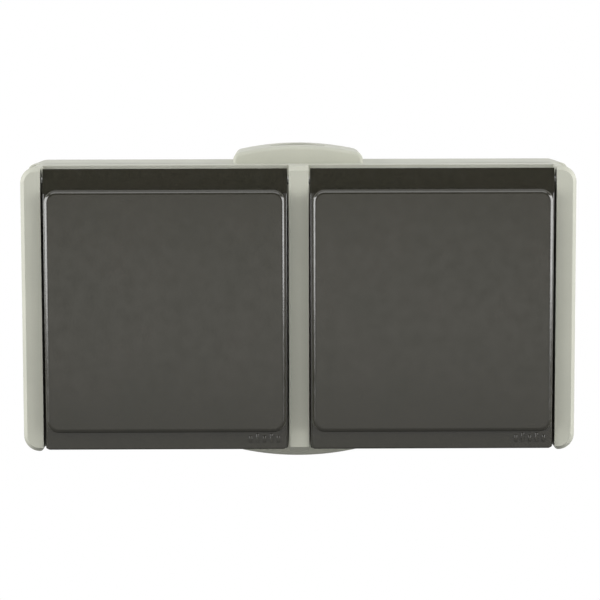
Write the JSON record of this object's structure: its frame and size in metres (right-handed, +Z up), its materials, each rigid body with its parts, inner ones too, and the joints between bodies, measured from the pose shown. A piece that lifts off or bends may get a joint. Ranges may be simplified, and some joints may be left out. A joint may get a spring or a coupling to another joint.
{
  "type": "rocker wall switch",
  "caption": "Surface-mounted weather-protected wall switch: light grey box with side cheeks, hinged dark lids over rockers and an arched cable boss above and below.",
  "frame": {"origin": "centre of the rear face, which lies on the wall", "axes": "+X to the right seen from the front, +Y into the wall, +Z up"},
  "size_m": [0.1478, 0.0535, 0.0858],
  "materials": {
    "light_grey_plastic": "fine satin moulded",
    "dark_lid_plastic": "fine-grained satin",
    "white_insert_plastic": "matt moulded",
    "black_rubber": "matt",
    "grey_rubber": "matt",
    "zinc_plated_steel": "zinc plated",
    "spring_steel": "drawn wire",
    "contact_brass": "stamped"
  },
  "bodies": {
    "housing": {"base_box": "light_grey_plastic", "front_cover": "light_grey_plastic", "cover_gasket": "black_rubber", "top_entry_grommet": "grey_rubber", "bottom_entry_plug": "grey_rubber", "cover_screw_1": "zinc_plated_steel", "cover_screw_2": "zinc_plated_steel", "cover_screw_3": "zinc_plated_steel", "cover_screw_4": "zinc_plated_steel", "lid_hinge_pin_left": "zinc_plated_steel", "lid_spring_left": "spring_steel", "switch_base_left": "white_insert_plastic", "common_terminal_left": "contact_brass", "load_terminal_upper_left": "contact_brass", "load_terminal_lower_left": "contact_brass", "common_terminal_screw_left": "zinc_plated_steel", "load_terminal_upper_screw_left": "zinc_plated_steel", "load_terminal_lower_screw_left": "zinc_plated_steel", "mounting_strap_left": "zinc_plated_steel", "strap_screw_upper_left": "zinc_plated_steel", "strap_screw_lower_left": "zinc_plated_steel", "lid_hinge_pin_right": "zinc_plated_steel", "lid_spring_right": "spring_steel", "switch_base_right": "white_insert_plastic", "common_terminal_right": "contact_brass", "load_terminal_upper_right": "contact_brass", "load_terminal_lower_right": "contact_brass", "common_terminal_screw_right": "zinc_plated_steel", "load_terminal_upper_screw_right": "zinc_plated_steel", "load_terminal_lower_screw_right": "zinc_plated_steel", "mounting_strap_right": "zinc_plated_steel", "strap_screw_upper_right": "zinc_plated_steel", "strap_screw_lower_right": "zinc_plated_steel"},
    "lid_left": {"lid_left": "dark_lid_plastic", "lid_seal_left": "black_rubber"},
    "rocker_left": {"rocker_left": "light_grey_plastic", "rocker_cradle_left": "white_insert_plastic", "plunger_left": "white_insert_plastic", "plunger_spring_left": "spring_steel"},
    "contact_lever_left": {"contact_lever_left": "contact_brass"},
    "lid_right": {"lid_right": "dark_lid_plastic", "lid_seal_right": "black_rubber"},
    "rocker_right": {"rocker_right": "light_grey_plastic", "rocker_cradle_right": "white_insert_plastic", "plunger_right": "white_insert_plastic", "plunger_spring_right": "spring_steel"},
    "contact_lever_right": {"contact_lever_right": "contact_brass"}
  },
  "joints": [
    {"name": "lid_hinge_left", "type": "hinge", "parent": "housing", "child": "lid_left", "pos_m": [-0.03547, -0.0471, 0.03435], "axis": [-1, 0, 0], "range_deg": [0, 100], "stiffness_Nm_per_rad": 0.012, "springref_deg": -20.05},
    {"name": "rocker_pivot_left", "type": "hinge", "parent": "housing", "child": "rocker_left", "pos_m": [-0.03547, -0.038, 0], "axis": [-1, 0, 0], "range_deg": [0, 12]},
    {"name": "contact_lever_pivot_left", "type": "hinge", "parent": "housing", "child": "contact_lever_left", "pos_m": [-0.03547, -0.02, 0], "axis": [-1, 0, 0], "range_deg": [-10, 0]},
    {"name": "lid_hinge_right", "type": "hinge", "parent": "housing", "child": "lid_right", "pos_m": [0.03547, -0.0471, 0.03435], "axis": [-1, 0, 0], "range_deg": [0, 100], "stiffness_Nm_per_rad": 0.012, "springref_deg": -20.05},
    {"name": "rocker_pivot_right", "type": "hinge", "parent": "housing", "child": "rocker_right", "pos_m": [0.03547, -0.038, 0], "axis": [-1, 0, 0], "range_deg": [0, 12]},
    {"name": "contact_lever_pivot_right", "type": "hinge", "parent": "housing", "child": "contact_lever_right", "pos_m": [0.03547, -0.02, 0], "axis": [-1, 0, 0], "range_deg": [-10, 0]}
  ],
  "couplings": [
    {"joint": "contact_lever_pivot_left", "follows": "rocker_pivot_left", "ratio": -0.8333},
    {"joint": "contact_lever_pivot_right", "follows": "rocker_pivot_right", "ratio": -0.8333}
  ]
}
